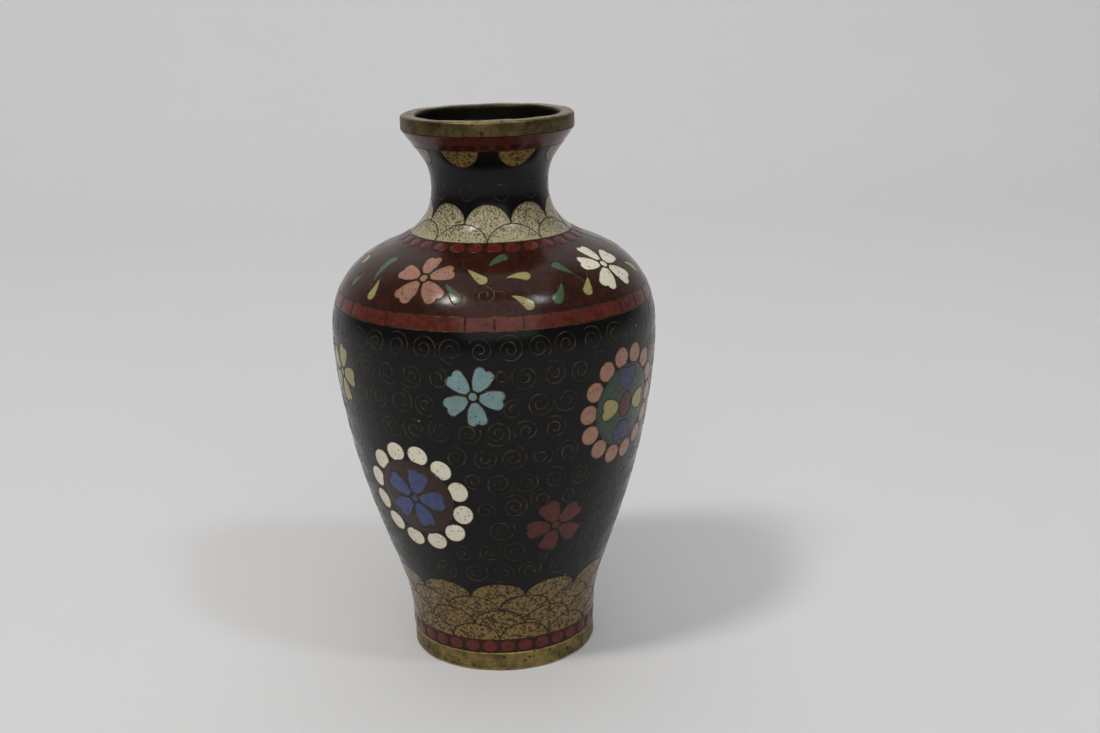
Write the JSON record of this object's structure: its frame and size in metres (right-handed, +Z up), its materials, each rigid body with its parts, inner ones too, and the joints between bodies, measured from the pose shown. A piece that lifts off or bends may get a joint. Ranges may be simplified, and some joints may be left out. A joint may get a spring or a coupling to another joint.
{
  "type": "cloisonne vase",
  "caption": "Small baluster vase of enamelled copper with a flared lip, brass rim and foot, and floral cloisonne cells outlined in wire.",
  "frame": {"origin": "middle of the flat ring that the vase stands on", "axes": "+Z up the vase's axis, from foot to rim; -Y is the side seen from the front"},
  "size_m": [0.053, 0.053, 0.09],
  "materials": {
    "copper": "dull, oxidised",
    "brass_mounts": "worn, patinated",
    "cloison_wire": "polished flush, darkened",
    "enamel_black": "polished, faintly pitted",
    "enamel_maroon": "polished, faintly pitted",
    "enamel_dark_red": "polished",
    "enamel_red": "polished",
    "enamel_ochre": "polished, speckled",
    "enamel_cream": "polished, speckled",
    "enamel_pink": "polished",
    "enamel_white": "polished",
    "enamel_green": "polished",
    "enamel_yellow": "polished",
    "enamel_turquoise": "polished",
    "enamel_brown": "polished",
    "enamel_blue": "polished",
    "enamel_deep_green": "polished",
    "enamel_purple": "polished",
    "enamel_lining": "glossy, uneven"
  },
  "bodies": {
    "root": {"copper_body": "copper", "base_plate": "copper", "foot_ring": "brass_mounts", "rim_ring": "brass_mounts", "base_enamel": "enamel_lining", "lining": "enamel_lining", "lip_enamel_red": "enamel_red", "lip_border_wire": "cloison_wire", "lip_drops_ochre": "enamel_ochre", "lip_drop_wires": "cloison_wire", "neck_dots": "enamel_black", "neck_dot_wires": "cloison_wire", "neck_enamel_black": "enamel_black", "collar_scales_upper": "enamel_cream", "collar_scales_lower": "enamel_cream", "collar_scale_wires": "cloison_wire", "collar_beads_red": "enamel_red", "collar_bead_wires": "cloison_wire", "shoulder_enamel_maroon": "enamel_maroon", "shoulder_flowers_pink": "enamel_pink", "shoulder_flowers_white": "enamel_white", "shoulder_leaves_green": "enamel_green", "shoulder_leaves_yellow": "enamel_yellow", "shoulder_wires": "cloison_wire", "band_tiles_red": "enamel_red", "band_wires": "cloison_wire", "medallion_petals_white": "enamel_white", "medallion_disc_brown": "enamel_brown", "medallion_flower_blue": "enamel_blue", "white_medallion_wires": "cloison_wire", "medallion_petals_pink": "enamel_pink", "medallion_disc_green": "enamel_deep_green", "medallion_caps_purple": "enamel_purple", "medallion_lobes_yellow": "enamel_yellow", "medallion_hearts_red": "enamel_red", "pink_medallion_wires": "cloison_wire", "foot_scales_ochre": "enamel_ochre", "foot_scale_wires": "cloison_wire", "body_flowers_turquoise": "enamel_turquoise", "body_flowers_red": "enamel_red", "body_flowers_yellow": "enamel_yellow", "body_flower_wires": "cloison_wire", "body_enamel_black": "enamel_black", "foot_beads_red": "enamel_red", "foot_bead_wires": "cloison_wire", "foot_enamel_dark_red": "enamel_dark_red"}
  },
  "joints": []
}
